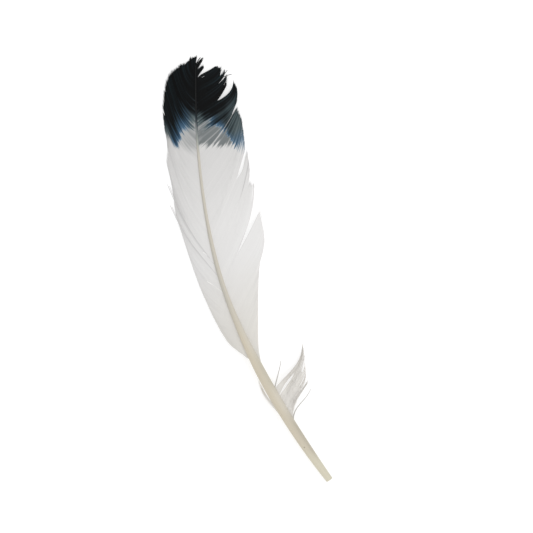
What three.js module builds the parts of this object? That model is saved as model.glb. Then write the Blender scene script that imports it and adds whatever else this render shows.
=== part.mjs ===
// A turkey quill feather lying on a table, upper side up, its cut quill end towards -Y and its tip
// towards +Y. The shaft bows sideways and arches up between its two ends. A narrow vane grows from
// its left side and a wide vane from its right, each a web of locks of barbs that is split where the
// barbs have unzipped. A downy tuft and a wisp of down stand beside the bare quill.
import * as THREE from 'three';

// Driving dimensions, mm. In plan, X is to the right and Y runs from the quill's cut end.
const LENGTH = 300; // cut end to the tip of the vanes
const SHAFT_LENGTH = 295; // the last barbs reach past the end of the shaft
const BOW = 29.2; // the shaft's sideways bow at mid length, towards -X
const BOW_POWER = 1.78; // 2 bends it evenly, less gathers the bend at mid length
const ARCH = 6.5; // rise of the shaft at mid length above the line through its ends
const TIP_HEIGHT = 1.4; // middle of the shaft above the table at its tip
const SHAFT_GAP = 0.3; // between the shaft and the roots of the barbs
const CUT_BEVEL = 0.9; // rounded rim of the cut quill end
const SHAFT_SIDES = 14;
const SHAFT_STEP = 8; // between the rings of the shaft
const LOCK_PITCH = 6.6; // most along the shaft, from one lock to the next
const NOTCH = 0.94; // share of a lock's length where it leaves its neighbours
const LOCK_RIDGE = 0.35; // how far the middle of a lock stands above its sides
const HANDLE = 0.38; // share of a barb's length over which it keeps the angle of either end
const CAMBER = 0.55; // share of a barb's fall that is left for its outer part

// Width of the shaft along its length: [distance from the cut end, width].
const SHAFT_WIDTHS = [
  [0, 4.7],
  [20, 6],
  [40, 6.7],
  [85, 6.8],
  [110, 4.9],
  [134, 3.5],
  [165, 2.8],
  [195, 2.1],
  [240, 1.6],
  [SHAFT_LENGTH, 0.8],
];

// Steps along a lock, as shares of its length. Every split starts on one of them.
const STEPS = [0, 0.08, 0.2, 0.32, 0.45, 0.58, 0.7, 0.8, 0.88, NOTCH, 1];

// Lobes of the vanes, from the quill to the tip. split is the share of the barbs' length where the
// lobe parts from the one before it. A guide barb is: root along the shaft, angle at which it leaves
// the shaft, tip X, tip Y, tip height, and angle at its tip. Angles are from +Y, outwards, in degrees.
const NARROW_VANE = [
  {
    guides: [
      [95, 62, -31.2, 99.4, 4.6, 48],
      [98, 50, -36.4, 107, 3.4, 32],
      [104, 40, -40.3, 120, 2.2, 20],
      [113, 32, -43.1, 138, 1.1, 10],
      [123, 28, -44.7, 155, 0.5, 6],
      [143, 24, -45.3, 190, 0.4, 2],
      [153, 23, -45, 204, 0.4, 1],
      [163, 22, -41.9, 222, 0.4, 0],
      [172, 22, -40.3, 239, 0.4, 0],
      [181, 23, -36.8, 248, 0.4, 0],
      [204, 26, -35, 260, 0.4, 2],
      [228, 28, -32.8, 271, 0.5, 6],
    ],
  },
  {
    split: 0.88,
    guides: [
      [228, 30, -32.3, 274, 0.9, 8],
      [240, 31, -26.8, 286.5, 0.6, 2],
      [254, 33, -21.2, 294.4, 0.6, 0],
      [268, 35, -15.8, 296.8, 0.7, -3],
      [283, 40, -9, 298.8, 0.8, -10],
    ],
  },
  {
    split: 0.88,
    guides: [
      [283, 40, -7.6, 298.2, 0.8, -16],
      [289, 26, -2.6, 300.3, 1, -28],
      [294, -20, 0.7, 299.9, 0.9, -30],
    ],
  },
];

const WIDE_VANE = [
  {
    guides: [
      [89, 8, -19.2, 101.5, 5.6, 4],
      [99, 18, -13.8, 117, 5, 16],
      [107, 25, -9.7, 130, 4, 20],
      [115, 31, -5.3, 143, 2.8, 24],
      [124, 36, 0.4, 156.6, 1.7, 26],
      [132, 40, 6.5, 167, 1.2, 24],
      [146, 35, 10.7, 189, 2.6, 40],
    ],
  },
  {
    split: 0.32,
    guides: [
      [146, 35, 11.2, 204.5, 0.5, 20],
      [151, 39, 11.3, 206.6, 0.4, 14],
      [158, 43, 9.4, 209.4, 0.4, 26],
    ],
  },
  {
    split: 0.88,
    guides: [
      [158, 44, 9.9, 211.5, 0.4, 28],
      [168, 46, 12.4, 219.8, 0.4, 29],
      [173, 45, 13.7, 227.6, 0.5, 22],
      [178, 34, 13.6, 230.7, 0.6, 26],
    ],
  },
  {
    split: 0.7,
    guides: [
      [178, 34, 12.8, 229.7, 0.4, 33],
      [192, 48, 15.1, 241.4, 0.4, 22],
      [210, 52, 16.6, 251, 0.4, 26],
      [233, 54, 16.1, 259.2, 0.8, 44],
    ],
  },
  {
    split: 0.8,
    guides: [
      [233, 60, 17.2, 262.6, 0.6, 40],
      [246, 66, 19.6, 269.8, 1.2, 12],
      [262, 68, 19, 276.7, 2.6, 8],
    ],
  },
  {
    split: 0.45,
    guides: [
      [262, 72, 14.1, 275.4, 1.6, 50],
      [272, 64, 16.8, 282.9, 1.4, 45],
    ],
  },
  {
    split: 0.58,
    guides: [
      [272, 62, 15.2, 283.3, 1.6, 34],
      [275, 68, 15.4, 285, 1.9, 22],
      [277, 72, 14.6, 286.2, 2, 22],
    ],
  },
  {
    split: 0.8,
    guides: [
      [277, 68, 14.3, 286.9, 1.2, 26],
      [281, 68, 13.4, 288.6, 1.3, 42],
      [285, 58, 10.6, 289.8, 1.5, 68],
    ],
  },
  {
    split: 0.08,
    guides: [
      [285, 44, 2.3, 290.7, 0.9, 54],
      [288, 44, 2.9, 291.8, 0.9, 56],
      [290, 46, 2.2, 293, 0.9, 58],
    ],
  },
  {
    split: 0.2,
    guides: [
      [290, 46, 4.3, 297.1, 1.2, 42],
      [294, 36, 3.8, 298, 1.2, 60],
    ],
  },
];

const DOWNY_TUFT = [
  {
    guides: [
      [46, 12, 4.8, 66, 1.2, 52],
      [50, 16, 6.4, 68.6, 1.4, 46],
    ],
  },
  {
    split: 0.45,
    guides: [
      [50, 18, 5.6, 71.5, 0.8, 22],
      [56, 28, 7.9, 80.6, 1.2, 4],
    ],
  },
  {
    split: 0.7,
    guides: [
      [56, 30, 8.9, 84, 1.2, 38],
      [63, 42, 9.9, 92.2, 2.2, 8],
      [69.5, 56, 9.5, 91.2, 2, 22],
    ],
  },
];

const DOWN_WISP = [
  {
    guides: [
      [55, 30, -25.9, 78.5, 0.8, -4],
      [61, 22, -24.4, 74.8, 1.2, 0],
    ],
  },
];

// Thickness of a web of barbs at the shaft and at its tips.
const VANE_SHEET = { root: 0.9, tip: 0.5 };
const DOWN_SHEET = { root: 0.7, tip: 0.4 };

const { lerp, degToRad } = THREE.MathUtils;
const shaftWidths = new THREE.CubicInterpolant(
  SHAFT_WIDTHS.map(([along]) => along),
  SHAFT_WIDTHS.map(([, width]) => width),
  1,
);

function shaftWidth(along) {
  return shaftWidths.evaluate(along)[0];
}

// Place along the shaft as -1 at the cut end, 0 at mid length and 1 at the tip of the feather.
function fromMiddle(along) {
  return (2 * along) / LENGTH - 1;
}

// Middle of the shaft.
function shaftMiddle(along) {
  const place = fromMiddle(along);
  const x = -BOW * (1 - Math.abs(place) ** BOW_POWER);
  const line = lerp(shaftWidth(0) / 2, TIP_HEIGHT, along / LENGTH);
  return new THREE.Vector3(x, along, line + ARCH * (1 - place * place));
}

// Direction across the shaft, level and to the right.
function acrossShaft(along) {
  const place = fromMiddle(along);
  const slope = ((2 * BOW * BOW_POWER) / LENGTH) * Math.abs(place) ** (BOW_POWER - 1) * Math.sign(place);
  return new THREE.Vector3(1, -slope, 0).normalize();
}

// The shaft is turned as a straight taper, then each of its points is carried to the bent line.
function shaftGeometry() {
  const profile = [new THREE.Vector2(0, 0), new THREE.Vector2(shaftWidth(0) / 2 - CUT_BEVEL, 0)];
  const rings = Math.round((SHAFT_LENGTH - CUT_BEVEL) / SHAFT_STEP);
  for (let ring = 0; ring < rings; ring += 1) {
    const along = lerp(CUT_BEVEL, SHAFT_LENGTH, ring / rings);
    profile.push(new THREE.Vector2(shaftWidth(along) / 2, along));
  }
  profile.push(new THREE.Vector2(0, SHAFT_LENGTH));
  const geometry = new THREE.LatheGeometry(profile, SHAFT_SIDES);
  const points = geometry.getAttribute('position');
  for (let index = 0; index < points.count; index += 1) {
    const along = points.getY(index);
    const place = shaftMiddle(along).addScaledVector(acrossShaft(along), points.getX(index));
    points.setXYZ(index, place.x, place.y, place.z + points.getZ(index));
  }
  return geometry;
}

// Level direction of a barb. side is 1 on the right of the shaft and -1 on its left.
function outwards(side, angle) {
  const turn = degToRad(angle);
  return new THREE.Vector3(side * Math.sin(turn), Math.cos(turn), 0);
}

// One barb as a curve from the side of the shaft to its tip.
function barb(side, root, leave, tipX, tipY, tipZ, arrive) {
  const reach = shaftWidth(root) / 2 + SHAFT_GAP;
  const start = shaftMiddle(root).addScaledVector(acrossShaft(root), side * reach);
  const tip = new THREE.Vector3(tipX, tipY, tipZ);
  const handle = HANDLE * start.distanceTo(tip);
  const near = start.clone().addScaledVector(outwards(side, leave), handle);
  const far = tip.clone().addScaledVector(outwards(side, arrive), -handle);
  far.z = lerp(tip.z, start.z, CAMBER);
  return new THREE.CubicBezierCurve3(start, near, far, tip);
}

// The barbs that bound a lobe's locks, each as its points at the steps.
function lobeBarbs(side, { guides }) {
  const roots = guides.map(([root]) => root);
  const shapes = guides.flatMap(([, ...shape]) => shape);
  const between = new THREE.CubicInterpolant(roots, shapes, shapes.length / roots.length);
  const first = roots.at(0);
  const last = roots.at(-1);
  const locks = Math.ceil((last - first) / LOCK_PITCH);
  const barbs = [];
  for (let edge = 0; edge <= locks; edge += 1) {
    const root = lerp(first, last, edge / locks);
    const curve = barb(side, root, ...between.evaluate(root));
    barbs.push(STEPS.map((step) => curve.getPoint(step)));
  }
  return barbs;
}

// Two lobes run as one up to the split: their barbs there move to the middle, and past it each
// goes back to its own line.
function joinLobes(before, after, split) {
  const splitStep = STEPS.indexOf(split);
  const meeting = before[splitStep].clone().lerp(after[splitStep], 0.5);
  const beforeShift = meeting.clone().sub(before[splitStep]);
  const afterShift = meeting.clone().sub(after[splitStep]);
  STEPS.forEach((step, index) => {
    if (index <= splitStep) {
      before[index].lerp(after[index], 0.5);
      after[index].copy(before[index]);
      return;
    }
    const left = (1 - step) / (1 - split);
    before[index].addScaledVector(beforeShift, left);
    after[index].addScaledVector(afterShift, left);
  });
}

// Collects the triangles of a sheet. mirrored turns them over, for the left side of the shaft.
function faceList(mirrored) {
  const corners = [];
  const triangle = (a, b, c) => {
    if (a.equals(b) || b.equals(c) || c.equals(a)) return;
    corners.push(...(mirrored ? [a, c, b] : [a, b, c]));
  };
  const quad = (a, b, c, d) => {
    triangle(a, b, c);
    triangle(a, c, d);
  };
  return { quad, geometry: () => new THREE.BufferGeometry().setFromPoints(corners) };
}

// One lock between two barbs, pointed at the tip of the upper one: a ridged top, a flat underside
// and walls where its sides are free.
function addLock(faces, lower, upper, lowerFree, upperFree, sheet) {
  const thickness = STEPS.map((step) => lerp(sheet.root, sheet.tip, step));
  const middle = lower.map((point, index) => point.clone().lerp(upper[index], 0.5));
  const pointed = (line) => [...line.slice(0, -1), upper.at(-1)];
  const raised = (line, share, ridge = 0) => line.map((point, index) => {
    const lift = share * thickness[index] + ridge * LOCK_RIDGE * (1 - STEPS[index]);
    return point.clone().add(new THREE.Vector3(0, 0, lift));
  });
  const lines = [lower, middle, upper].map(pointed);
  const top = lines.map((line, index) => raised(line, 0.5, index === 1 ? 1 : 0));
  const under = lines.map((line) => raised(line, -0.5));
  const last = STEPS.length - 1;
  for (const [a, b] of [[0, 1], [1, 2]]) {
    for (let step = 0; step < last; step += 1) {
      faces.quad(top[a][step], top[a][step + 1], top[b][step + 1], top[b][step]);
      faces.quad(under[a][step], under[b][step], under[b][step + 1], under[a][step + 1]);
    }
    faces.quad(top[a][0], top[b][0], under[b][0], under[a][0]);
  }
  for (let step = lowerFree; step < last; step += 1) {
    faces.quad(top[0][step], under[0][step], under[0][step + 1], top[0][step + 1]);
  }
  for (let step = upperFree; step < last; step += 1) {
    faces.quad(top[2][step], top[2][step + 1], under[2][step + 1], under[2][step]);
  }
}

// A web of locks on one side of the shaft.
function sheetGeometry(side, lobes, sheet) {
  const faces = faceList(side < 0);
  const barbs = lobes.map((lobe) => lobeBarbs(side, lobe));
  for (let index = 1; index < lobes.length; index += 1) {
    joinLobes(barbs[index - 1].at(-1), barbs[index][0], lobes[index].split);
  }
  const notch = STEPS.indexOf(NOTCH);
  const freeFrom = (lobe) => (lobe?.split ? STEPS.indexOf(lobe.split) : 0);
  barbs.forEach((edges, index) => {
    for (let lock = 1; lock < edges.length; lock += 1) {
      const lowerFree = lock === 1 ? freeFrom(lobes[index]) : notch;
      const upperFree = lock === edges.length - 1 ? freeFrom(lobes[index + 1]) : notch;
      addLock(faces, edges[lock - 1], edges[lock], lowerFree, upperFree, sheet);
    }
  });
  return faces.geometry();
}

// Horn is the shaft's own cream, the barbs are bleached white and the down a little warmer.
const horn = { color: '#d1c9b3', roughness: 0.45, metalness: 0 };
const bleachedBarbs = { color: '#e0dfdd', roughness: 0.8, metalness: 0 };
const down = { color: '#dedbd6', roughness: 0.9, metalness: 0 };

const feather = new THREE.Group();
function addPiece(name, geometry, finish) {
  const piece = new THREE.Mesh(geometry, new THREE.MeshStandardMaterial(finish));
  piece.name = name;
  feather.add(piece);
}

addPiece('quill_shaft', shaftGeometry(), horn);
addPiece('narrow_vane', sheetGeometry(-1, NARROW_VANE, VANE_SHEET), bleachedBarbs);
addPiece('wide_vane', sheetGeometry(1, WIDE_VANE, VANE_SHEET), bleachedBarbs);
addPiece('downy_tuft', sheetGeometry(1, DOWNY_TUFT, DOWN_SHEET), down);
addPiece('down_wisp', sheetGeometry(-1, DOWN_WISP, DOWN_SHEET), down);

// The feather's own origin is under the middle of its box, on the table.
const box = new THREE.Box3().setFromObject(feather);
const middle = box.getCenter(new THREE.Vector3());
feather.position.set(-middle.x, -middle.y, -box.min.z);

export default feather;
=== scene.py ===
"""A turkey quill feather, lying on a table with its upper side up: its horn shaft, its two vanes laid
barb by barb, its down, and the stage it is seen on. Sizes are in millimetres until a mesh is made."""

import math

import bpy
import numpy as np
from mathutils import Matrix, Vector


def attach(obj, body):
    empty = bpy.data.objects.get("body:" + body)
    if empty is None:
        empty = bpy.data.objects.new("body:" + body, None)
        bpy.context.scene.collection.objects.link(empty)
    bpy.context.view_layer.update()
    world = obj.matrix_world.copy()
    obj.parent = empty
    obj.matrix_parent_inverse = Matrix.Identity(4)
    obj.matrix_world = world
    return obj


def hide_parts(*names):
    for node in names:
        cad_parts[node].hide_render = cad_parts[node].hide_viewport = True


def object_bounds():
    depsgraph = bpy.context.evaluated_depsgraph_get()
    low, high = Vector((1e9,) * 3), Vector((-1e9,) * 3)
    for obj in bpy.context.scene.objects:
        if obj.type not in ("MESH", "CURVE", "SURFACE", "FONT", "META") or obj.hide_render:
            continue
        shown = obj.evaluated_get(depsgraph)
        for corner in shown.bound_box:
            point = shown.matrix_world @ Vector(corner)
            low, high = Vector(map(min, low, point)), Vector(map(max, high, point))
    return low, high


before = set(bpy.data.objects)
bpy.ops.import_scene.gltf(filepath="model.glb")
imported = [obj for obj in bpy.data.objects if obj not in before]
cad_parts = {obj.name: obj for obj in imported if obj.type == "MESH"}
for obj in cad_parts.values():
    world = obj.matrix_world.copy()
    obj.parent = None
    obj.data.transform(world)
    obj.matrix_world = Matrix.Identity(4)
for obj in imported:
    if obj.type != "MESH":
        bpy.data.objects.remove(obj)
CAD_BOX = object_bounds()

bl_info = {
    "name": "Turkey Quill Feather",
    "version": (1, 0, 0),
    "blender": (4, 5, 0),
    "location": "3D View > Sidebar > Feather",
    "description": "Lays the shaft, vanes and down of a dip-dyed turkey quill feather",
    "category": "Add Mesh",
}

MM = 0.001
LEFT, RIGHT = -1, 1

# Shaft, as the part's source has it. Along is measured from the quill's cut end.
LENGTH = 300.0
SHAFT_LENGTH = 295.0
BOW = 29.2
BOW_POWER = 1.78
ARCH = 6.5
TIP_HEIGHT = 1.4
SHAFT_WIDTHS = [
    (0, 4.7),
    (20, 6),
    (40, 6.7),
    (85, 6.8),
    (110, 4.9),
    (134, 3.5),
    (165, 2.8),
    (195, 2.1),
    (240, 1.6),
    (SHAFT_LENGTH, 0.8),
]

# Barbs, as the part's source has them. A guide barb is: root along the shaft, angle at which it leaves
# the shaft, tip X, tip Y, tip height, and angle at its tip. Angles are from +Y, outwards, in degrees.
# A lobe is the share of its barbs' length where it parts from the lobe before it, and its guides.
HANDLE = 0.38
CAMBER = 0.55
NARROW_VANE = [
    (0, [
        (95, 62, -31.2, 99.4, 4.6, 48),
        (98, 50, -36.4, 107, 3.4, 32),
        (104, 40, -40.3, 120, 2.2, 20),
        (113, 32, -43.1, 138, 1.1, 10),
        (123, 28, -44.7, 155, 0.5, 6),
        (143, 24, -45.3, 190, 0.4, 2),
        (153, 23, -45, 204, 0.4, 1),
        (163, 22, -41.9, 222, 0.4, 0),
        (172, 22, -40.3, 239, 0.4, 0),
        (181, 23, -36.8, 248, 0.4, 0),
        (204, 26, -35, 260, 0.4, 2),
        (228, 28, -32.8, 271, 0.5, 6),
    ]),
    (0.88, [
        (228, 30, -32.3, 274, 0.9, 8),
        (240, 31, -26.8, 286.5, 0.6, 2),
        (254, 33, -21.2, 294.4, 0.6, 0),
        (268, 35, -15.8, 296.8, 0.7, -3),
        (283, 40, -9, 298.8, 0.8, -10),
    ]),
    (0.88, [
        (283, 40, -7.6, 298.2, 0.8, -16),
        (289, 26, -2.6, 300.3, 1, -28),
        (294, -20, 0.7, 299.9, 0.9, -30),
    ]),
]
WIDE_VANE = [
    (0, [
        (89, 8, -19.2, 101.5, 5.6, 4),
        (99, 18, -13.8, 117, 5, 16),
        (107, 25, -9.7, 130, 4, 20),
        (115, 31, -5.3, 143, 2.8, 24),
        (124, 36, 0.4, 156.6, 1.7, 26),
        (132, 40, 6.5, 167, 1.2, 24),
        (146, 35, 10.7, 189, 2.6, 40),
    ]),
    (0.32, [
        (146, 35, 11.2, 204.5, 0.5, 20),
        (151, 39, 11.3, 206.6, 0.4, 14),
        (158, 43, 9.4, 209.4, 0.4, 26),
    ]),
    (0.88, [
        (158, 44, 9.9, 211.5, 0.4, 28),
        (168, 46, 12.4, 219.8, 0.4, 29),
        (173, 45, 13.7, 227.6, 0.5, 22),
        (178, 34, 13.6, 230.7, 0.6, 26),
    ]),
    (0.7, [
        (178, 34, 12.8, 229.7, 0.4, 33),
        (192, 48, 15.1, 241.4, 0.4, 22),
        (210, 52, 16.6, 251, 0.4, 26),
        (233, 54, 16.1, 259.2, 0.8, 44),
    ]),
    (0.8, [(233, 60, 17.2, 262.6, 0.6, 40), (246, 66, 19.6, 269.8, 1.2, 12), (262, 68, 19, 276.7, 2.6, 8)]),
    (0.45, [(262, 72, 14.1, 275.4, 1.6, 50), (272, 64, 16.8, 282.9, 1.4, 45)]),
    (0.58, [(272, 62, 15.2, 283.3, 1.6, 34), (275, 68, 15.4, 285, 1.9, 22), (277, 72, 14.6, 286.2, 2, 22)]),
    (0.8, [
        (277, 68, 14.3, 286.9, 1.2, 26),
        (281, 68, 13.4, 288.6, 1.3, 42),
        (285, 58, 10.6, 289.8, 1.5, 68),
    ]),
    (0.08, [(285, 44, 2.3, 290.7, 0.9, 54), (288, 44, 2.9, 291.8, 0.9, 56), (290, 46, 2.2, 293, 0.9, 58)]),
    (0.2, [(290, 46, 4.3, 297.1, 1.2, 42), (294, 36, 3.8, 298, 1.2, 60)]),
]
DOWNY_TUFT = [
    (0, [(46, 12, 4.8, 66, 1.2, 52), (50, 16, 6.4, 68.6, 1.4, 46)]),
    (0.45, [(50, 18, 5.6, 71.5, 0.8, 22), (56, 28, 7.9, 80.6, 1.2, 4)]),
    (0.7, [(56, 30, 8.9, 84, 1.2, 38), (63, 42, 9.9, 92.2, 2.2, 8), (69.5, 56, 9.5, 91.2, 2, 22)]),
]
DOWN_WISP = [(0, [(55, 30, -25.9, 78.5, 0.8, -4), (61, 22, -24.4, 74.8, 1.2, 0)])]

# Single barbs that stand loose, each a guide barb and its tone: on the narrow vane's edge, two that lie
# across it near the shaft, at the wide vane's torn end, and at the tuft. The two that lie across the
# vane are lighter, a painted highlight, and those at the tuft darker, painted shade.
NARROW_LOOSE = [
    (153.5, 23, -47, 209.4, 0.6, 6, 0.8),
    (154.5, 23, -46, 207.8, 0.6, 4, 0.9),
    (161.5, 22, -44.6, 223.4, 0.6, 6, 0.8),
    (162.5, 22, -43.5, 221.8, 0.6, 4, 0.9),
    # Painted highlight: these two have a tone above 1.
    (142, 36, -38.5, 152.6, 7, 46, 1.3),
    (163, 40, -35.1, 172.1, 8, 46, 1.3),
]
WIDE_LOOSE = [
    (270, 66, 19.4, 281.2, 1.8, 96, 1),
    (274, 66, 17.4, 284.8, 2.2, 50, 1),
    (294, 24, 2.6, 298.6, 1.4, 44, 1),
    (294, 20, 2.0, 298.3, 1.2, 40, 1),
]
# Painted shade: the tuft's loose barbs have a tone below 1.
TUFT_LOOSE = [(46, 20, 6.3, 62.2, 1.4, 40, 0.7), (70, 29, -7, 86.8, 3.2, 26, 0.7)]

# Painted shade: darker lines painted along the barbs, as where one lock of a vane lies over the next. Each
# is: root along the shaft, where on the barbs the line starts, and how dark it is. It darkens over a
# share of the barbs' length.
NARROW_SEAM_SHADES = [(119, 0.3, 0.04), (136, 0.3, 0.04), (160, 0.4, 0.05), (184, 0.4, 0.05), (200, 0.5, 0.05)]
WIDE_SEAM_SHADES = [
    (112, 0.5, 0.05),
    (121, 0.5, 0.05),
    (148, 0.3, 0.2),
    (169.5, 0.55, 0.26),
    (187, 0.6, 0.08),
    (200, 0.6, 0.1),
]
SEAM_WIDTH = 1.1
SEAM_RUN = 0.2

# Slits that close before the barbs' tips: root along the shaft, where on the barbs they start and end,
# as shares of their length, and how wide they gape.
NARROW_PARTINGS = [(131, 0.7, 1.1, 0.5), (166, 0.78, 1.2, 0.6), (189, 0.8, 1.2, 0.5)]
WIDE_PARTINGS = [
    (146, 0.16, 0.9, 1),
    (152.5, 0.78, 1.02, 0.5),
    (178, 0.66, 1.06, 3.6),
    (201, 0.76, 1.2, 0.6),
    (236.5, 0.62, 1.05, 0.35),
    (267, 0.84, 0.98, 0.5),
    (272, 0.6, 1.3, 0.3),
    (274.5, 0.68, 1, 0.7),
    (277, 0.7, 1.3, 2.0),
    (283.4, 0.22, 0.46, 0.35),
]
TUFT_PARTINGS = [(64, 0.0, 0.48, 2.1), (53.5, 0.5, 1.1, 0.7), (60, 0.55, 1.05, 0.6)]
PARTING_REACH = 2.4

# The dye's edge as (X, Y) across each vane, how much of it the barbs took as (X, share), and the place
# along the feather from which the dip was deeper. Barbs near the undyed root are grey instead: their
# dye depth is set to untouched.
DYE_EDGE = {
    LEFT: [
        (-36, 255),
        (-34, 253.5),
        (-33, 250),
        (-32.4, 247),
        (-31.4, 245),
        (-30, 245.3),
        (-28.5, 247.5),
        (-26.5, 252.3),
        (-24.5, 253.6),
        (-20, 255),
        (-14, 256.5),
    ],
    RIGHT: [
        (-16, 257),
        (-9.5, 254),
        (-4.3, 254),
        (-2.5, 252),
        (1.5, 248),
        (3.5, 244.5),
        (4.4, 241.5),
        (5.3, 237),
        (6.3, 233.5),
        (9, 231.5),
        (14, 233),
    ],
}
DYE_TAKE = {
    LEFT: [(-34, 0.35), (-32.4, 0.5), (-31, 1.1), (-29.5, 0.9), (-27.3, 0.8), (-24, 1), (-20, 0.55)],
    RIGHT: [(-9, 0.6), (-6, 1.8), (0, 1.3), (5, 0.45), (10, 0.2), (14, 0.14)],
}
DEEP_DIP = 260.0
DEEPENING = 0.8
UNDYED_ROOT = 232.6
UNDYED_REACH = 0.26
UNDYED_GREY = 0.5
UNDYED_RUN = 2.0
UNTOUCHED = -9.0

# Grey where dye bled past its edge: its lower edge as (X, Y), how softly it starts, and how strong it is
# as (distance from the shaft, share).
BLEED_EDGE = {
    LEFT: [(-34, 243), (-28, 241), (-24.3, 236.5), (-20, 234.5)],
    RIGHT: [(-16, 240), (-12, 239.5), (-8, 238.6), (-4, 236.2), (1, 234.6), (6, 234.4)],
}
BLEED_WIDTH = {LEFT: 11.0, RIGHT: 3.0}
BLEED_STRENGTH = {LEFT: [(0, 0.6), (5, 0.6), (9, 0.5), (13, 0.4), (20, 0.2)], RIGHT: [(1, 0.8), (4, 1)]}

# How blue thin dye looks: where it turns blue away from the shaft, and where it ends, each as the place
# and the run over which it changes. It ends at the left vane's rim, and past the right vane's dye edge.
BLUE_START = {LEFT: (2, 7), RIGHT: (5, 8)}
BLUE_END = {LEFT: (17, 2.5), RIGHT: (2, 12)}

# Rings along a barb, as shares of its length, closer together towards its tip.
BARB_RINGS = np.append(np.linspace(0, 0.9, 25), [0.93, 0.955, 0.975, 0.99, 1])
BARBULE_RINGS = np.array([0, 0.5, 1])
ROOT_DEPTH = 0.3


def lerp(start, end, share):
    """The value that far from start to end."""
    return start + (end - start) * share


def ease(value):
    """0 up to 0, 1 from 1 on, and a smooth rise between."""
    share = np.clip(value, 0, 1)
    return share * share * (3 - 2 * share)


def unit(vectors):
    """The vectors at length 1."""
    return vectors / np.maximum(np.linalg.norm(vectors, axis=-1, keepdims=True), 1e-9)


def on_line(place, line):
    """The value at a place on a line of (place, value) points."""
    return np.interp(place, *zip(*line))


def linear(code):
    """An sRGB hex colour as linear red, green, blue and alpha."""
    channels = [int(code[place : place + 2], 16) / 255 for place in (1, 3, 5)]
    return [c / 12.92 if c <= 0.04045 else ((c + 0.055) / 1.055) ** 2.4 for c in channels] + [1]


def curve_through(stations, values):
    """A smooth curve through values at stations, whose slope at each is the mean of those beside it."""
    stations = np.asarray(stations, float)
    values = np.asarray(values, float).reshape(len(stations), -1)
    steps = np.diff(stations)[:, None]
    grades = np.diff(values, axis=0) / steps
    slopes = np.vstack([grades[:1], (grades[1:] + grades[:-1]) / 2, grades[-1:]])

    def at(place):
        place = np.atleast_1d(place)
        piece = np.clip(np.searchsorted(stations, place, side="right") - 1, 0, len(stations) - 2)
        share = (place - stations[piece])[:, None] / steps[piece]
        rest = 1 - share
        level = values[piece] * (1 + 2 * share) * rest**2 + values[piece + 1] * (1 + 2 * rest) * share**2
        return level + steps[piece] * share * rest * (slopes[piece] * rest - slopes[piece + 1] * share)

    return at


shaft_curve = curve_through(*zip(*SHAFT_WIDTHS))


def shaft_width(along):
    """Width of the shaft."""
    return shaft_curve(along)[:, 0]


def shaft_middle(along):
    """Middle of the shaft, which bows to the left and arches up."""
    place = 2 * along / LENGTH - 1
    x = -BOW * (1 - np.abs(place) ** BOW_POWER)
    line = lerp(SHAFT_WIDTHS[0][1] / 2, TIP_HEIGHT, along / LENGTH)
    return np.stack([x, along, line + ARCH * (1 - place**2)], axis=-1)


def across_shaft(along):
    """Level direction across the shaft, to the right."""
    place = 2 * along / LENGTH - 1
    slope = 2 * BOW * BOW_POWER / LENGTH * np.abs(place) ** (BOW_POWER - 1) * np.sign(place)
    return unit(np.stack([np.ones_like(slope), -slope, np.zeros_like(slope)], axis=-1))


def feather_origin():
    """Middle of the quill's cut end in the frame, mm. The shaft's furthest point along +Y is its tip."""
    tip = max((vertex.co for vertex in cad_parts["quill_shaft"].data.vertices), key=lambda co: co.y)
    return np.array(tip) / MM - shaft_middle(np.array([SHAFT_LENGTH]))[0]


ORIGIN = feather_origin()


def outwards(side, angle):
    """Level direction at an angle from +Y, outwards from the shaft."""
    turn = np.radians(angle)
    return np.stack([side * np.sin(turn), np.cos(turn), np.zeros_like(turn)], axis=-1)


def lay_barbs(side, roots, shapes):
    """Points along barbs that are rooted in the shaft's side."""
    leave, tip, arrive = shapes[:, 0], shapes[:, 1:4], shapes[:, 4]
    reach = (shaft_width(roots) / 2 - ROOT_DEPTH)[:, None]
    start = shaft_middle(roots) + side * reach * across_shaft(roots)
    handle = HANDLE * np.linalg.norm(tip - start, axis=1)[:, None]
    near = start + handle * outwards(side, leave)
    far = tip - handle * outwards(side, arrive)
    far[:, 2] = lerp(tip[:, 2], start[:, 2], CAMBER)
    share = BARB_RINGS[None, :, None]
    rest = 1 - share
    inner = start[:, None] * rest**3 + 3 * near[:, None] * share * rest**2
    return inner + 3 * far[:, None] * share**2 * rest + tip[:, None] * share**3


def lay_lobe(side, guides, spacing, stray, random):
    """Roots and points of a lobe's barbs, between its guides, some of them a little longer or shorter."""
    guides = np.array(guides, float)
    count = max(3, round((guides[-1, 0] - guides[0, 0]) / spacing) + 1)
    roots = np.linspace(guides[0, 0], guides[-1, 0], count)
    points = lay_barbs(side, roots, curve_through(guides[:, 0], guides[:, 1:])(roots))
    course = unit(np.gradient(points, axis=1))
    points += random.normal(0, stray, (count, 1, 1)) * course * BARB_RINGS[:, None] ** 6
    return roots, points


def join_lobes(before, after, split, join_reach):
    """Two lobes run as one up to the split: the barbs there meet half way, and the ones beside follow.
    Of the two that meet, one is tucked under the other."""
    tuck = 0.1
    own = before[1][-1].copy(), after[1][0].copy()
    last = np.searchsorted(BARB_RINGS, split)
    fade = np.clip((1 - BARB_RINGS) / (1 - split), 0, 1)[:, None]
    for (roots, points), line, edge in zip((before, after), own, (-1, 0)):
        shift = (own[0] + own[1]) / 2 - line
        shift[last + 1 :] = shift[last] * fade[last + 1 :]
        reach = min(join_reach, roots[-1] - roots[0])
        weight = np.clip(1 - np.abs(roots - roots[edge]) / reach, 0, 1)
        points += weight[:, None, None] * shift
    after[1][0, :, 2] -= tuck * (BARB_RINGS <= split)


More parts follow.
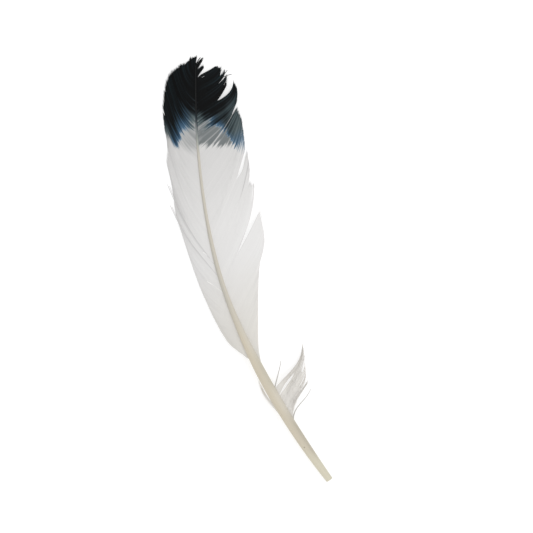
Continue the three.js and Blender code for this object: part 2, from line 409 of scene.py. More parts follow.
def lay_web(side, lobes, spacing, stray, join_reach, random):
    """The lobes of a web, joined up to their splits: roots, points and widths. A width is 1, and less
    on the border of a lobe where it is free."""
    border_share = 0.4
    border_run = 0.1
    laid = [lay_lobe(side, guides, spacing, stray, random) for split, guides in lobes]
    for index in range(1, len(lobes)):
        join_lobes(laid[index - 1], laid[index], lobes[index][0], join_reach)
    splits = [split for split, guides in lobes] + [0]
    web = []
    for number, (roots, points) in enumerate(laid):
        width = np.ones(points.shape[:2])
        for edge, split in zip((0, -1), splits[number : number + 2]):
            width[edge] = lerp(1, border_share, ease((BARB_RINGS - split) / border_run))
        web.append((roots, points, width))
    return web


def gather_locks(roots, points, pitch, random):
    """Draws the barbs' ends together into locks about pitch wide, each a little higher or lower."""
    pull = 0.02
    lift = 0.03
    borders = roots[0] + np.cumsum(random.uniform(0.5, 1.5, 4 + int(np.ptp(roots) / pitch * 2)) * pitch)
    lock = np.searchsorted(borders, roots)
    outer = BARB_RINGS[:, None] ** 3
    for number in np.unique(lock):
        member = lock == number
        middle = points[member].mean(axis=0)
        points[member] += pull * outer * (middle - points[member])
        points[member, :, 2] += random.normal(0, lift) * BARB_RINGS**2


def ripple(roots, points, height, random):
    """Lifts and lowers a web in long waves that run along its barbs."""
    wave_lengths = (7, 13, 24)
    most_drift = 2
    start_run = 0.4
    rise = np.zeros(points.shape[:2])
    for length in wave_lengths:
        phase = random.uniform(0, 2 * math.pi)
        drift = random.uniform(-most_drift, most_drift)
        rise += np.sin(2 * math.pi * roots[:, None] / length + phase + drift * BARB_RINGS)
    points[:, :, 2] += height * rise * ease(BARB_RINGS / start_run)


def part_barbs(roots, points, partings):
    """Opens slits in a web by pushing the barbs on either side of them apart."""
    for root, start, end, gap in partings:
        if roots[0] <= root <= roots[-1]:
            place = np.clip((BARB_RINGS - start) / (end - start), 0, 1)
            opening = gap / 2 * np.sin(math.pi * place)
            away = roots - root
            hand = np.where(away == 0, np.sign(away.mean()), np.sign(away))
            push = hand * np.exp(-np.abs(away) / PARTING_REACH)
            points += unit(np.gradient(points, axis=0)) * push[:, None, None] * opening[:, None]


def web_sides(points, side):
    """Up and the spacing at each point of a web, from where its neighbours are."""
    along = unit(np.gradient(points, axis=1))
    beside = np.gradient(points, axis=0)
    beside -= (beside * along).sum(axis=-1, keepdims=True) * along
    up = side * np.cross(along, unit(beside))
    return unit(up), np.linalg.norm(beside, axis=-1)


def ribbons(points, up, half_width, ridge, tilt):
    """Closed four-sided ribbons along lines of points: two edges, a ridge above and a lower one below.
    A tilted ribbon has its right edge under its neighbour's left one."""
    keel_share = 0.6
    along = unit(np.gradient(points, axis=1))
    right = unit(np.cross(along, up))
    above = unit(np.cross(right, along))
    width = half_width[..., None]
    left_edge = points - right * width + above * tilt
    right_edge = points + right * width - above * tilt
    crest = points + above * ridge
    keel = points - above * ridge * keel_share
    return np.stack([left_edge, crest, right_edge, keel], axis=2)


def tube_faces(count, rings, corners):
    """Faces of closed tubes, wound to face out, and the UV map's place for every corner of a face:
    U runs along the tubes, and each tube has a strip of V for each of its sides."""
    index = np.arange(count * rings * corners).reshape(count, rings, corners)
    ahead = np.roll(index, -1, axis=2)
    sides = np.stack([index[:, :-1], ahead[:, :-1], ahead[:, 1:], index[:, 1:]], axis=-1)
    caps = np.stack([index[:, 0, ::-1], index[:, -1]], axis=1)
    strip = np.arange(corners + 1) / (corners + 1)
    u = np.broadcast_to(np.linspace(0, 1, rings)[None, :, None], (count, rings, corners + 1))
    v = np.broadcast_to((np.arange(count)[:, None, None] + strip) / count, u.shape)
    grid = np.stack([u, v], axis=-1)
    low, high = grid[:, :, :-1], grid[:, :, 1:]
    side_map = np.stack([low[:, :-1], high[:, :-1], high[:, 1:], low[:, 1:]], axis=3)
    cap_map = np.stack([grid[:, 0, :corners], grid[:, -1, :corners]], axis=1)
    faces = sides.reshape(-1, 4).tolist() + caps.reshape(-1, corners).tolist()
    return faces, np.concatenate([side_map.reshape(-1, 2), cap_map.reshape(-1, 2)])


class Tubes:
    """Gathers closed tubes and the values that their material reads, then makes one mesh of them."""

    def __init__(self):
        self.points = []
        self.faces = []
        self.maps = []
        self.values = {}
        self.size = 0

    def add(self, tubes, **values):
        """Tubes as an array of tube, ring, corner and place, with a value for each ring or corner."""
        count, rings, corners = tubes.shape[:3]
        faces, uv = tube_faces(count, rings, corners)
        self.points.append(tubes.reshape(-1, 3))
        self.faces += [[corner + self.size for corner in face] for face in faces]
        self.maps.append(uv)
        self.size += count * rings * corners
        for name, value in values.items():
            value = np.asarray(value, float)
            spread = value if value.ndim == 3 else np.broadcast_to(value, (count, rings))[..., None]
            self.values.setdefault(name, []).append(np.broadcast_to(spread, tubes.shape[:3]).ravel())

    def piece(self, name, smooth):
        """The mesh as an object in the frame, with its UV map and its values at each point."""
        ends = np.cumsum([0] + [len(uv) for uv in self.maps])
        for uv, start in zip(self.maps, ends):
            uv[:, 1] = (start + uv[:, 1] * len(uv)) / ends[-1]
        points = np.concatenate(self.points) + ORIGIN
        points[:, 2] = np.maximum(points[:, 2], 0)
        mesh = bpy.data.meshes.new(name)
        mesh.from_pydata((points * MM).tolist(), [], self.faces)
        uv = np.concatenate(self.maps).astype(np.float32)
        mesh.uv_layers.new(name="OFBake").data.foreach_set("uv", uv.ravel())
        for key, parts in self.values.items():
            value = np.concatenate(parts).astype(np.float32)
            mesh.attributes.new(key, "FLOAT", "POINT").data.foreach_set("value", value)
        if smooth:
            mesh.shade_smooth()
        if mesh.validate():
            raise RuntimeError(name + " has faces that are not sound")
        piece = bpy.data.objects.new(name, mesh)
        bpy.context.scene.collection.objects.link(piece)
        return piece


def dress(piece, node, material):
    """The piece stands for a node of the frame, in one material."""
    piece.data.materials.append(material)
    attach(piece, "root")
    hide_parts(node)


def add_node(tree, kind, settings=None, stops=(), **inputs):
    """Adds a node. Settings are its own, stops are a ramp's places and hex colours, and an input, by its
    name or as _number, takes a value or another node's output."""
    node = tree.nodes.new(kind)
    for name, value in (settings or {}).items():
        setattr(node, name, value)
    for number, (place, colour) in enumerate(stops):
        elements = node.color_ramp.elements
        element = elements[number] if number < len(elements) else elements.new(place)
        element.position = place
        element.color = linear(colour)
    for name, value in inputs.items():
        socket = node.inputs[int(name[1:]) if name[1:].isdigit() else name.replace("_", " ")]
        if isinstance(value, bpy.types.NodeSocket):
            tree.links.new(value, socket)
        else:
            socket.default_value = value
    return node


def new_material(name):
    """An empty node material, its tree and its Principled shader."""
    material = bpy.data.materials.new(name)
    material.use_nodes = True
    return material, material.node_tree, material.node_tree.nodes["Principled BSDF"]


RGB_MIX = {"data_type": "RGBA"}
RGB_MULTIPLY = {"data_type": "RGBA", "blend_type": "MULTIPLY"}
SMOOTH = {"interpolation_type": "SMOOTHSTEP"}
KERATIN_IOR = 1.55


def bleached_dyed_barbs(colours):
    """Feather keratin, bleached and then dip-dyed at the tip: a web of fine barbs that scatters light
    softly, creamy towards the quill, with a blue or slate edge where the dye crept along single barbs."""
    material, tree, shader = new_material("keratin_barbs_bleached_dip_dyed")
    place = add_node(tree, "ShaderNodeNewGeometry").outputs["Position"]
    along = add_node(tree, "ShaderNodeSeparateXYZ", Vector=place).outputs["Y"]
    low, high = CAD_BOX[0][1], CAD_BOX[1][1]
    share = add_node(tree, "ShaderNodeMapRange", Value=along, From_Min=low, From_Max=high).outputs[0]
    tone, bleed, dye, blueness, streak = (
        add_node(tree, "ShaderNodeAttribute", {"attribute_name": name}).outputs["Fac"]
        for name in ("tone", "bleed", "dye", "blueness", "streak")
    )
    base = add_node(
        tree,
        "ShaderNodeValToRGB",
        stops=[(0.36, colours.cream), (0.54, colours.white), (0.62, colours.white), (0.78, colours.dull)],
        Fac=share,
    ).outputs["Color"]
    # Tone darkens or lightens the colour: random tone of locks and barbs, painted shade along seams and a
    # crease, and a painted highlight or shade on some loose barbs.
    toned = add_node(tree, "ShaderNodeMix", RGB_MULTIPLY, _0=1.0, _6=base, _7=tone).outputs[2]
    washed = add_node(tree, "ShaderNodeMix", RGB_MIX, _0=bleed, _6=toned, _7=linear(colours.grey)).outputs[2]
    depth = add_node(tree, "ShaderNodeMapRange", Value=dye, From_Min=0, From_Max=15).outputs[0]
    depths = (0, 0.08, 0.28, 0.55, 0.95)
    slate_dye = (colours.fog, colours.sage, colours.slate, colours.charcoal, colours.black)
    blue_dye = (colours.pale_blue, colours.blue, colours.deep_blue, colours.navy, colours.black)
    slates, blues = (
        add_node(tree, "ShaderNodeValToRGB", stops=list(zip(depths, dyes)), Fac=depth).outputs["Color"]
        for dyes in (slate_dye, blue_dye)
    )
    shades = add_node(tree, "ShaderNodeMix", RGB_MIX, _0=blueness, _6=slates, _7=blues).outputs[2]
    streaked = add_node(
        tree, "ShaderNodeMix", RGB_MIX, _0=streak, _6=shades, _7=linear(colours.teal)
    ).outputs[2]
    taken = add_node(tree, "ShaderNodeMapRange", Value=dye, From_Min=-1, From_Max=0.6).outputs[0]
    dyed = add_node(tree, "ShaderNodeMix", RGB_MIX, _0=taken, _6=washed, _7=streaked).outputs[2]
    tree.links.new(dyed, shader.inputs["Base Color"])
    # Barbules are 0.03 mm apart. Bands ten times as wide, on barbs 51 mm long, show as a fine grain.
    barbule_bands = 51 / 0.3
    web = add_node(tree, "ShaderNodeUVMap", {"uv_map": "OFBake"}).outputs["UV"]
    run = add_node(tree, "ShaderNodeSeparateXYZ", Vector=web).outputs["X"]
    band = add_node(
        tree, "ShaderNodeMath", {"operation": "PINGPONG"}, _0=run, _1=0.5 / barbule_bands
    ).outputs[0]
    rise = add_node(
        tree, "ShaderNodeMapRange", Value=band, From_Min=0, From_Max=0.5 / barbule_bands
    ).outputs[0]
    grain = add_node(tree, "ShaderNodeBump", Strength=0.12, Distance=0.03 * MM, Height=rise).outputs["Normal"]
    tree.links.new(grain, shader.inputs["Normal"])
    shader.inputs["Roughness"].default_value = 0.6
    shader.inputs["IOR"].default_value = KERATIN_IOR
    shader.inputs["Specular IOR Level"].default_value = 0.08
    return material


def loose_down(colours):
    """Downy keratin barbs, washed and bleached: matt, soft, with threads a little lighter or darker."""
    material, tree, shader = new_material("down_barbs_bleached")
    tone = add_node(tree, "ShaderNodeAttribute", {"attribute_name": "tone"}).outputs["Fac"]
    # Tone darkens or lightens the colour: random tone of the threads, and painted shade on the tuft's loose
    # barbs.
    toned = add_node(
        tree, "ShaderNodeMix", RGB_MULTIPLY, _0=1.0, _6=linear(colours.down), _7=tone
    ).outputs[2]
    tree.links.new(toned, shader.inputs["Base Color"])
    shader.inputs["Roughness"].default_value = 0.85
    shader.inputs["IOR"].default_value = KERATIN_IOR
    shader.inputs["Specular IOR Level"].default_value = 0.08
    return material


def dried_horn(colours):
    """Quill horn, grown smooth and dried: cream keratin with a dull sheen and fine lines along it, dyed
    black at the tip. Shade is painted into its colour: the right side of the bare quill and the left side
    of the upper shaft are painted darker."""
    material, tree, shader = new_material("quill_horn_dried")
    along = add_node(tree, "ShaderNodeAttribute", {"attribute_name": "along"}).outputs["Fac"]
    across = add_node(tree, "ShaderNodeAttribute", {"attribute_name": "across"}).outputs["Fac"]
    dyed_end = [
        (0.825, colours.horn_wash),
        (0.848, colours.grey),
        (0.865, colours.navy),
        (0.885, colours.black),
    ]
    left = add_node(
        tree,
        "ShaderNodeValToRGB",
        stops=[
            (0.05, colours.horn_end),
            (0.1, colours.horn),
            (0.36, colours.horn),
            # Painted shade: the left side of the upper shaft is darker than its right.
            (0.46, colours.horn_shade_left),
            (0.8, colours.horn_shade_left),
            *dyed_end,
        ],
        Fac=along,
    ).outputs["Color"]
    right = add_node(
        tree,
        "ShaderNodeValToRGB",
        stops=[
            # Painted shade: the bare quill's right side, from its cut end on, is darker than its left.
            (0.045, colours.horn_shade_rim),
            (0.075, colours.horn_shade_right),
            (0.14, colours.horn_shade_right),
            (0.185, colours.horn_pale),
            (0.22, colours.horn_pale),
            (0.25, colours.horn_shade_by_tuft),
            (0.3, colours.horn_shade_by_tuft),
            (0.34, colours.horn_pale),
            (0.78, colours.horn_pale),
            *[(place - 0.016, colour) for place, colour in dyed_end],
        ],
        Fac=along,
    ).outputs["Color"]
    # Blends the left and right ramps around the shaft, so the painted shade falls on one side.
    side = add_node(
        tree, "ShaderNodeMapRange", SMOOTH, Value=across, From_Min=-0.6, From_Max=1
    ).outputs[0]
    body = add_node(tree, "ShaderNodeMix", RGB_MIX, _0=side, _6=left, _7=right).outputs[2]
    # Lines about 0.3 mm apart run along the horn for some 20 mm each.
    quill_round = 21 / 0.3
    line_runs = LENGTH / 20
    surface = add_node(tree, "ShaderNodeUVMap", {"uv_map": "OFBake"}).outputs["UV"]
    stretched = add_node(
        tree, "ShaderNodeMapping", Vector=surface, Scale=(line_runs, quill_round, 1)
    ).outputs["Vector"]
    lines = add_node(tree, "ShaderNodeTexNoise", Vector=stretched, Scale=1.0, Detail=3.0).outputs["Fac"]
    lined = add_node(
        tree, "ShaderNodeMapRange", Value=lines, From_Min=0.3, From_Max=0.7, To_Min=0.95, To_Max=1.04
    ).outputs[0]
    grained = add_node(tree, "ShaderNodeMix", RGB_MULTIPLY, _0=1.0, _6=body, _7=lined).outputs[2]
    # A pore with dirt in it, 0.8 mm across, on the bare quill.
    speck_along = 26.4
    speck_offset = np.array([-1.0, 0, 2.9])
    speck = (shaft_middle(np.array([speck_along]))[0] + speck_offset + ORIGIN) * MM
    place = add_node(tree, "ShaderNodeNewGeometry").outputs["Position"]
    away = add_node(
        tree, "ShaderNodeVectorMath", {"operation": "DISTANCE"}, _0=place, _1=tuple(speck)
    ).outputs["Value"]
    clean = add_node(
        tree, "ShaderNodeMapRange", SMOOTH, Value=away, From_Min=0.25 * MM, From_Max=0.6 * MM, To_Min=0.3
    ).outputs[0]
    specked = add_node(
        tree, "ShaderNodeMix", RGB_MIX, _0=clean, _6=linear(colours.dirt), _7=grained
    ).outputs[2]
    tree.links.new(specked, shader.inputs["Base Color"])
    ridges = add_node(
        tree, "ShaderNodeBump", Strength=0.25, Distance=0.05 * MM, Height=lines
    ).outputs["Normal"]
    tree.links.new(ridges, shader.inputs["Normal"])
    dull = add_node(
        tree, "ShaderNodeMapRange", Value=lines, From_Min=0.3, From_Max=0.7, To_Min=0.42, To_Max=0.58
    ).outputs[0]
    tree.links.new(dull, shader.inputs["Roughness"])
    shader.inputs["IOR"].default_value = KERATIN_IOR
    shader.inputs["Specular IOR Level"].default_value = 0.2
    return material


def white_table(colours, glow):
    """White acrylic, moulded and lit from below, so that what lies on it casts only faint shadows."""
    material, _, shader = new_material("white_acrylic_moulded")
    shader.inputs["Base Color"].default_value = linear(colours.table)
    shader.inputs["Emission Color"].default_value = linear("#ffffff")
    shader.inputs["Emission Strength"].default_value = glow
    shader.inputs["Roughness"].default_value = 0.9
    shader.inputs["Specular IOR Level"].default_value = 0.1
    return material


class FeatherSizes(bpy.types.PropertyGroup):
    """How closely the barbs lie and how they stray."""

    barb_spacing: bpy.props.FloatProperty(
        name="Barb spacing", description="Along the shaft", default=0.5 * MM, min=0.0003, unit="LENGTH"
    )
    barb_cover: bpy.props.FloatProperty(
        name="Barb cover", description="Width of a barb with its barbules, in spacings", default=1.35
    )
    barb_ridge: bpy.props.FloatProperty(
        name="Barb ridge", description="Height of a barb's ridge", default=0.08 * MM, unit="LENGTH"
    )
    lock_pitch: bpy.props.FloatProperty(
        name="Lock pitch", description="Width of a lock at the shaft", default=6.6 * MM, unit="LENGTH"
    )
    ripple: bpy.props.FloatProperty(
        name="Ripple", description="Height of the waves in the vanes", default=0.05 * MM, unit="LENGTH"
    )
    down_spacing: bpy.props.FloatProperty(
        name="Down spacing", description="Between barbs of the tuft", default=0.36 * MM, unit="LENGTH"
    )
    barbule_length: bpy.props.FloatProperty(
        name="Barbule length", description="Of the threads on down barbs", default=2.2 * MM, unit="LENGTH"
    )


class FeatherColours(bpy.types.PropertyGroup):
    """sRGB hex colours of the feather and its table."""

    white: bpy.props.StringProperty(name="White", description="Bleached barbs", default="#e4e3e2")
    cream: bpy.props.StringProperty(name="Cream", description="Barbs next to the quill", default="#dcd9d3")
    dull: bpy.props.StringProperty(name="Dull white", description="Barbs next to the dye", default="#d8d7d6")
    grey: bpy.props.StringProperty(name="Grey", description="Where dye bled past its edge", default="#7a7f80")
    pale_blue: bpy.props.StringProperty(name="Pale blue", description="Faintest dye", default="#8aa0b2")
    blue: bpy.props.StringProperty(name="Blue", description="Edge of blue dye", default="#4f6d86")
    deep_blue: bpy.props.StringProperty(name="Deep blue", description="Thin blue dye", default="#2f475c")
    navy: bpy.props.StringProperty(name="Navy", description="Thick blue dye", default="#22313a")
    fog: bpy.props.StringProperty(name="Fog", description="Faintest slate dye", default="#8d9496")
    sage: bpy.props.StringProperty(name="Sage", description="Edge of slate dye", default="#5f6b6d")
    slate: bpy.props.StringProperty(name="Slate", description="Thin slate dye", default="#3c474a")
    charcoal: bpy.props.StringProperty(name="Charcoal", description="Thick slate dye", default="#22292c")
    black: bpy.props.StringProperty(name="Black", description="Fully dyed", default="#08090a")
    teal: bpy.props.StringProperty(name="Teal", description="Streaks in the black", default="#24343a")
    horn: bpy.props.StringProperty(name="Horn", description="Left of the quill", default="#d1c8b5")
    horn_end: bpy.props.StringProperty(name="Horn end", description="Left of the cut end", default="#d6d0bc")
    # Painted shade: the right side of the bare quill and its cut end are darker in these three.
    horn_shade_rim: bpy.props.StringProperty(name="Horn rim", description="Right of the cut end", default="#c9c4b1")
    horn_shade_right: bpy.props.StringProperty(name="Horn side", description="Right of the quill", default="#b4ad9d")
    horn_shade_by_tuft: bpy.props.StringProperty(name="Dull horn", description="Right, by the tuft", default="#bfb9a9")
    horn_pale: bpy.props.StringProperty(name="Pale horn", description="Right of the shaft", default="#c9c3b6")
    # Painted shade: the left side of the upper shaft.
    horn_shade_left: bpy.props.StringProperty(name="Dark horn", description="Left of the shaft", default="#c3bfb4")
    horn_wash: bpy.props.StringProperty(name="Washed horn", description="Where dye starts", default="#9ea39e")
    dirt: bpy.props.StringProperty(name="Dirt", description="In a pore of the quill", default="#7d725c")
    down: bpy.props.StringProperty(name="Down", description="Tuft and wisp", default="#dedbd6")
    table: bpy.props.StringProperty(name="Table", description="White acrylic", default="#bcbcbc")


class FeatherStage(bpy.types.PropertyGroup):
    """Camera, light and floor."""

    camera_height: bpy.props.FloatProperty(
        name="Camera height", description="Above the table", default=1.5, unit="LENGTH"
    )
    view_width: bpy.props.FloatProperty(
        name="View width", description="Of the picture, at the feather", default=0.3606, unit="LENGTH"
    )
    view_turn: bpy.props.FloatProperty(
        name="View turn",
        description="Of the picture from the feather's axis",
        default=math.radians(-17.49),
        subtype="ANGLE",
    )
    sky: bpy.props.FloatProperty(name="Sky", description="Strength of the even light", default=0.85)
    key: bpy.props.FloatProperty(name="Key", description="Power of the large lamp, W", default=4.0)
    glow: bpy.props.FloatProperty(name="Table glow", description="Light from the white table", default=0.6)


class FEATHER_OT_shaft(bpy.types.Operator):
    """Lays the shaft: a round bare quill that turns into a tapering shaft, grooved below"""

    bl_idname = "feather.lay_shaft"
    bl_label = "Lay the shaft"

    ring_count = 220
    side_count = 28
    tip_radius = 0.05
    # The groove under the shaft starts where the vanes do and is full some way on. It takes up the
    # lowest share of the radius.
    groove_start = 88.0
    groove_run = 20.0
    groove_depth = 0.3
    groove_share = 0.25
    # Cut end, from its hollow out to the rim: share of the radius and depth along the shaft.
    cut_end = [(0.3, 0.9), (0.6, -0.2), (0.93, -0.16)]

    def execute(self, context):
        along = np.linspace(0, SHAFT_LENGTH, self.ring_count)
        turn = np.linspace(2 * math.pi, 0, self.side_count, endpoint=False)
        radius = (shaft_width(along) / 2)[:, None]
        radius[-1] = self.tip_radius
        sideways = np.sin(turn)
        upward = np.cos(turn)
        started = ease((along - self.groove_start) / self.groove_run)[:, None]
        below = ease((-upward - (1 - self.groove_share)) / self.groove_share)
        groove = self.groove_depth * started * below
        body = shaft_middle(along)[:, None] + (radius * sideways)[..., None] * across_shaft(along)[:, None]
        body[:, :, 2] += radius * (upward + groove)
        rim = body[0] - shaft_middle(np.zeros(1))
        end = [shaft_middle(np.array([depth])) + rim * share for share, depth in self.cut_end]
        rings = np.concatenate([np.stack(end), body])
        shaft = Tubes()
        shaft.add(
            rings[None],
            along=(rings[..., 1] / LENGTH)[None],
            across=np.broadcast_to(sideways, rings.shape[:2])[None],
        )
        piece = shaft.piece("shaft_horn", smooth=True)
        dress(piece, "quill_shaft", dried_horn(context.scene.feather_colours))
        return {"FINISHED"}


def past_edge(points, edge):
    """How far each point is past an edge across the vane, towards the tip."""
    return points[..., 1] - on_line(points[..., 0], edge)


def from_shaft(points):
    """How far each point is from the middle of the shaft, across."""
    return np.abs(points[..., 0] - shaft_middle(points[..., 1])[..., 0])


def dye_depth(side, points, creep):
    """How deeply each point is dyed, with the dye having crept that far along its barb, mm."""
    past = past_edge(points, DYE_EDGE[side]) + creep
    deeper = DEEPENING * np.maximum(points[..., 1] - DEEP_DIP, 0)
    return past * np.where(past > 0, on_line(points[..., 0], DYE_TAKE[side]), 1) + deeper


def dye_blueness(side, points):
    """How blue thin dye looks: on the left but for its rims, and on the right next to the dye's edge."""
    start, start_run = BLUE_START[side]
    end, end_run = BLUE_END[side]
    away = from_shaft(points)
    onward = away if side == LEFT else past_edge(points, DYE_EDGE[side])
    return ease((away - start) / start_run) * (1 - ease((onward - end) / end_run))


def bleed_share(side, points, creep):
    """How grey each point is from dye that bled past its edge."""
    past = past_edge(points, BLEED_EDGE[side]) + creep
    return on_line(from_shaft(points), BLEED_STRENGTH[side]) * ease(past / BLEED_WIDTH[side])


def smooth_noise(count, reach, random):
    """Even noise over barbs, blurred over a few neighbours."""
    kernel = np.hanning(2 * reach + 1)
    noise = np.convolve(random.normal(0, 1, count + 2 * reach), kernel / np.linalg.norm(kernel), mode="valid")
    return noise[:count]


def barb_noise(count, reach, shared, own, random):
    """Noise over barbs: a part that barbs within reach of each other share, and each barb's own."""
    common = shared * smooth_noise(count, reach, random)
    return common + own * random.normal(0, 1, count)


def loose_barbs(side, guides, half_width, ridge):
    """Points and ribbons of barbs that stand loose, one for each guide, with a half width at each ring."""
    points = lay_barbs(side, guides[:, 0], guides[:, 1:6])
    up = np.broadcast_to([0.0, 0.0, 1.0], points.shape)
    return points, ribbons(points, up, np.broadcast_to(half_width, points.shape[:2]), ridge, 0)


class FEATHER_OT_vanes(bpy.types.Operator):
    """Lays the two vanes barb by barb, parted at their splits, with the dye that each barb took"""

    bl_idname = "feather.lay_vanes"
    bl_label = "Lay the vanes"

    seed = 7
    tip_stray = 0.6
    join_reach = 6.6
    loose_half = 0.32
    loose_tip = 0.5
    tilt = 0.04
    # Half the width of a barb, least and most, and the share of it that is left at the barb's point.
    half_range = (0.12, 0.8)
    point_start = 0.94
    point_width = 0.08
    # Noise, as its reach in barbs, the part that neighbours share and each barb's own: how far dye crept
    # in mm, how light a barb is, and how streaky its dye is.
    creep_noise = (2, 1.9, 0.5)
    shade_noise = (6, 0.01, 0.009)
    streak_noise = (2, 0.2, 0.2)
    most_streak = 0.7
    # Shade grows along a barb, from a share at its root to one at its tip.
    shade_growth = (0.6, 1.8)
    # How unevenly barbs turned grey and how unevenly they took dye: reach, size, least and most.
    uneven_bleed = (2, 0.2, 0, 1.2)
    uneven_uptake = (2, 0.3, 0.4, 1.8)
    # A faint line of painted shade, as a crease would cast, runs inside the narrow vane's edge.
    crease_shade = {LEFT: 0.035, RIGHT: 0.0}
    crease_inset = 7.0
    crease_width = 1.6

    def execute(self, context):
        sizes = context.scene.feather_sizes
        material = bleached_dyed_barbs(context.scene.feather_colours)
        for side, name, lobes, partings, seam_shades, loose in (
            (LEFT, "narrow_vane", NARROW_VANE, NARROW_PARTINGS, NARROW_SEAM_SHADES, NARROW_LOOSE),
            (RIGHT, "wide_vane", WIDE_VANE, WIDE_PARTINGS, WIDE_SEAM_SHADES, WIDE_LOOSE),
        ):
            random = np.random.default_rng(self.seed + side)
            vane = Tubes()
            self.lay_lobes(vane, sizes, side, lobes, partings, seam_shades, random)
            self.lay_loose(vane, sizes, side, loose)
            dress(vane.piece(name + "_barbs", smooth=False), name, material)
        return {"FINISHED"}

    def lay_lobes(self, vane, sizes, side, lobes, partings, seam_shades, random):
        spacing = sizes.barb_spacing / MM
        point = ease((BARB_RINGS - self.point_start) / (1 - self.point_start))
        pointed = lerp(1, self.point_width, point)
        web = lay_web(side, lobes, spacing, self.tip_stray, self.join_reach, random)
        for roots, points, width in web:
            gather_locks(roots, points, sizes.lock_pitch / MM, random)
            ripple(roots, points, sizes.ripple / MM, random)
            up, apart = web_sides(points, side)
            half = np.clip(apart * sizes.barb_cover / 2, *self.half_range) * pointed * width
            part_barbs(roots, points, partings)
            vane.add(
                ribbons(points, up, half, sizes.barb_ridge / MM, -side * self.tilt),
                **self.take_dye(side, roots, points, seam_shades, random),
            )

    def around_one(self, count, reach, size, least, most, random):
        """A factor for each barb, about 1 and within bounds."""
        return np.clip(1 + size * smooth_noise(count, reach, random), least, most)[:, None]

    def take_dye(self, side, roots, points, seam_shades, random):
        """The values of a lobe's barbs that their material reads."""
        count = len(roots)
        creep = barb_noise(count, *self.creep_noise, random)[:, None]
        dye = dye_depth(side, points, creep)
        uneven = self.around_one(count, *self.uneven_bleed, random)
        bleed = bleed_share(side, points, creep / 2) * uneven
        undyed = (np.abs(roots - UNDYED_ROOT) < UNDYED_REACH) & (side == RIGHT)
        bleed[undyed] = UNDYED_GREY * ease(dye[undyed] / UNDYED_RUN)
        dye[undyed] = UNTOUCHED
        shade = barb_noise(count, *self.shade_noise, random)[:, None]
        left_over = np.linalg.norm(points - points[:, -1:], axis=-1)
        # Painted shade along that line inside the narrow vane's edge.
        crease_shade = self.crease_shade[side] * np.exp(-(((left_over - self.crease_inset) / self.crease_width) ** 2))
        streak = np.clip(barb_noise(count, *self.streak_noise, random), 0, self.most_streak)[:, None]
        tone = 1 + shade * lerp(*self.shade_growth, BARB_RINGS**2) - crease_shade
        # Painted shade along the seam lines.
        for root, start, darkness in seam_shades:
            near = np.exp(-(((roots - root) / SEAM_WIDTH) ** 2))[:, None]
            tone -= darkness * near * ease((BARB_RINGS - start) / SEAM_RUN)
        uptake = self.around_one(count, *self.uneven_uptake, random)
        return {
            "dye": np.where(dye > 0, dye * uptake, dye),
            "blueness": dye_blueness(side, points),
            "bleed": bleed,
            "tone": tone,
            "streak": streak * BARB_RINGS,
        }

    def lay_loose(self, vane, sizes, side, loose):
        guides = np.array(loose, float)
        half = self.loose_half * lerp(1, self.loose_tip, BARB_RINGS**2)
        points, barbs = loose_barbs(side, guides, half, sizes.barb_ridge / MM)
        vane.add(
            barbs,
            dye=dye_depth(side, points, 0),
            blueness=dye_blueness(side, points),
            bleed=bleed_share(side, points, 0),
            tone=guides[:, 6:],
            streak=0,
        )


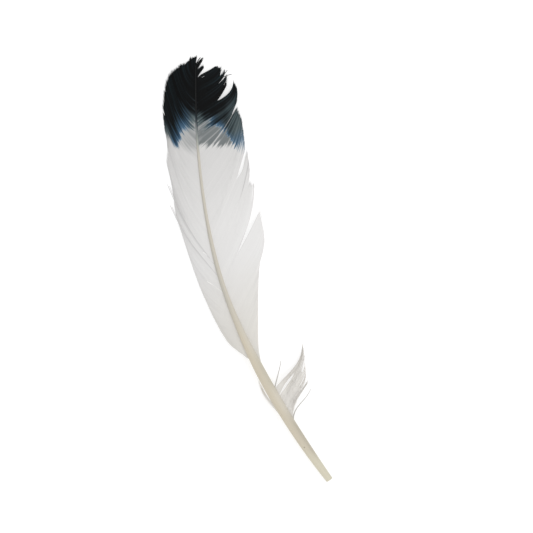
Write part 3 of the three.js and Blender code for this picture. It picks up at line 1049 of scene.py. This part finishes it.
class FEATHER_OT_down(bpy.types.Operator):
    """Lays the tuft and the wisp: fine barbs with short barbules along them"""

    bl_idname = "feather.lay_down"
    bl_label = "Lay the down"

    seed = 31
    tip_stray = 0.8
    join_reach = 3.0
    ridge = 0.09
    tilt = 0.04
    loose_half = 0.44
    loose_tip = 0.4
    # Half the width of a barb in spacings, its least half width, and where it starts to get slender.
    half_cover = 0.65
    least_half = 0.1
    slender_start = 0.55
    # Noise in the barbs' shade, as in the vanes, and how far their tips are lifted or lowered.
    shade_noise = (2, 0.03, 0.025)
    shade_growth = (0.5, 1.5)
    tip_lift = 0.15
    # Barbules: rings at each end of a barb without them, shares of their length, the share left at the
    # barb's tip, angles from the barb in degrees, how steeply they rise or fall, half widths at root and
    # tip, and their ridge.
    bare_rings = 4
    barbule_shares = (0.5, 1.4)
    barbule_end_share = 0.5
    barbule_angles = (8, 26)
    barbule_rise = 0.12
    barbule_halves = (0.06, 0.015)
    barbule_ridge = 0.04

    def execute(self, context):
        material = loose_down(context.scene.feather_colours)
        sizes = context.scene.feather_sizes
        for side, name, lobes, partings, loose, thinness, most_half, tip_share in (
            (RIGHT, "downy_tuft", DOWNY_TUFT, TUFT_PARTINGS, TUFT_LOOSE, 1, 0.5, 0.12),
            (LEFT, "down_wisp", DOWN_WISP, [], [], 5, 0.34, 0.6),
        ):
            random = np.random.default_rng(self.seed + side)
            down = Tubes()
            spacing = thinness * sizes.down_spacing / MM
            narrowing = ease((BARB_RINGS - self.slender_start) / (1 - self.slender_start))
            slender = lerp(1, tip_share, narrowing)
            web = lay_web(side, lobes, spacing, self.tip_stray, self.join_reach, random)
            for roots, points, width in web:
                up, apart = web_sides(points, side)
                half = np.clip(apart * self.half_cover, self.least_half, most_half) * slender * width
                part_barbs(roots, points, partings)
                count = len(roots)
                shade = barb_noise(count, *self.shade_noise, random)[:, None]
                tone = 1 + shade * lerp(*self.shade_growth, BARB_RINGS)
                points[:, :, 2] += random.normal(0, self.tip_lift, (count, 1)) * BARB_RINGS
                down.add(ribbons(points, up, half, self.ridge, self.tilt), tone=tone)
                self.add_barbules(down, points, up, tone, sizes.barbule_length / MM / thinness, random)
            if loose:
                guides = np.array(loose, float)
                half = self.loose_half * lerp(1, self.loose_tip, BARB_RINGS)
                down.add(loose_barbs(side, guides, half, self.ridge)[1], tone=guides[:, 6:])
            dress(down.piece(name + "_down", smooth=False), name, material)
        return {"FINISHED"}

    def add_barbules(self, down, points, up, tone, length, random):
        """Short threads on both sides of down barbs."""
        along = unit(np.gradient(points, axis=1))
        right = unit(np.cross(along, up))
        count = len(points)
        for hand in (LEFT, RIGHT):
            for ring in range(self.bare_rings, len(BARB_RINGS) - self.bare_rings):
                share = random.uniform(*self.barbule_shares, (count, 1))
                reach = length * share * lerp(1, self.barbule_end_share, BARB_RINGS[ring])
                spread = np.radians(random.uniform(*self.barbule_angles, (count, 1)))
                start = lerp(points[:, ring], points[:, ring + 1], random.uniform(0, 1, (count, 1)))
                course = along[:, ring] * np.cos(spread) + hand * right[:, ring] * np.sin(spread)
                course = course + up[:, ring] * random.normal(0, self.barbule_rise, (count, 1))
                thread = start[:, None] + course[:, None] * (reach * BARBULE_RINGS)[..., None]
                half = np.broadcast_to(lerp(*self.barbule_halves, BARBULE_RINGS), thread.shape[:2])
                above = np.broadcast_to(up[:, ring, None], thread.shape)
                down.add(ribbons(thread, above, half, self.barbule_ridge, 0), tone=tone[:, ring, None])


class FEATHER_OT_stage(bpy.types.Operator):
    """Sets the table, the light and the camera that looks straight down"""

    bl_idname = "feather.set_stage"
    bl_label = "Set the stage"

    # The middle of the picture, beside the middle of the feather.
    view_middle = (2.7, 150.2, 0)
    table_half = 3.0
    lamp_place = (0.7, -0.35, 1.0)
    lamp_size = 0.8

    def execute(self, context):
        scene = context.scene
        stage = scene.feather_stage
        self.lay_table(white_table(scene.feather_colours, stage.glow))
        world = bpy.data.worlds.new("even_light")
        world.use_nodes = True
        sky = world.node_tree.nodes["Background"]
        sky.inputs["Color"].default_value = (1, 1, 1, 1)
        sky.inputs["Strength"].default_value = stage.sky
        scene.world = world
        lamp = bpy.data.lights.new("large_lamp", "AREA")
        lamp.energy = stage.key
        lamp.size = self.lamp_size
        key = bpy.data.objects.new("large_lamp", lamp)
        key.location = self.lamp_place
        key.rotation_euler = (-key.location).to_track_quat("-Z", "Y").to_euler()
        scene.collection.objects.link(key)
        lens = bpy.data.cameras.new("camera")
        lens.lens = lens.sensor_width * stage.camera_height / stage.view_width
        camera = bpy.data.objects.new("camera", lens)
        middle = (np.array(self.view_middle) + ORIGIN) * MM
        camera.location = (middle[0], middle[1], stage.camera_height)
        camera.rotation_euler = (0, 0, stage.view_turn)
        scene.collection.objects.link(camera)
        scene.camera = camera
        scene.view_settings.view_transform = "Standard"
        return {"FINISHED"}

    def lay_table(self, material):
        half = self.table_half
        mesh = bpy.data.meshes.new("table")
        corners = [(-half, -half, 0), (half, -half, 0), (half, half, 0), (-half, half, 0)]
        mesh.from_pydata(corners, [], [(0, 1, 2, 3)])
        mesh.materials.append(material)
        table = bpy.data.objects.new("table", mesh)
        bpy.context.scene.collection.objects.link(table)


class FEATHER_PT_panel(bpy.types.Panel):
    """Lists the steps that lay the feather"""

    bl_idname = "FEATHER_PT_panel"
    bl_label = "Feather"
    bl_space_type = "VIEW_3D"
    bl_region_type = "UI"
    bl_category = "Feather"

    def draw(self, context):
        for step in STEPS:
            self.layout.operator(step.bl_idname)
        for group_name in GROUPS:
            group = getattr(context.scene, group_name)
            for name in group.bl_rna.properties.keys():
                if name not in ("rna_type", "name"):
                    self.layout.prop(group, name)


STEPS = (FEATHER_OT_shaft, FEATHER_OT_vanes, FEATHER_OT_down, FEATHER_OT_stage)
GROUPS = {"feather_sizes": FeatherSizes, "feather_colours": FeatherColours, "feather_stage": FeatherStage}
CLASSES = (*GROUPS.values(), *STEPS, FEATHER_PT_panel)


def register():
    for item in CLASSES:
        bpy.utils.register_class(item)
    for name, group in GROUPS.items():
        setattr(bpy.types.Scene, name, bpy.props.PointerProperty(type=group))


def unregister():
    for name in GROUPS:
        delattr(bpy.types.Scene, name)
    for item in reversed(CLASSES):
        bpy.utils.unregister_class(item)


def main():
    register()
    bpy.ops.feather.lay_shaft()
    bpy.ops.feather.lay_vanes()
    bpy.ops.feather.lay_down()
    bpy.ops.feather.set_stage()


if __name__ == "__main__":
    main()
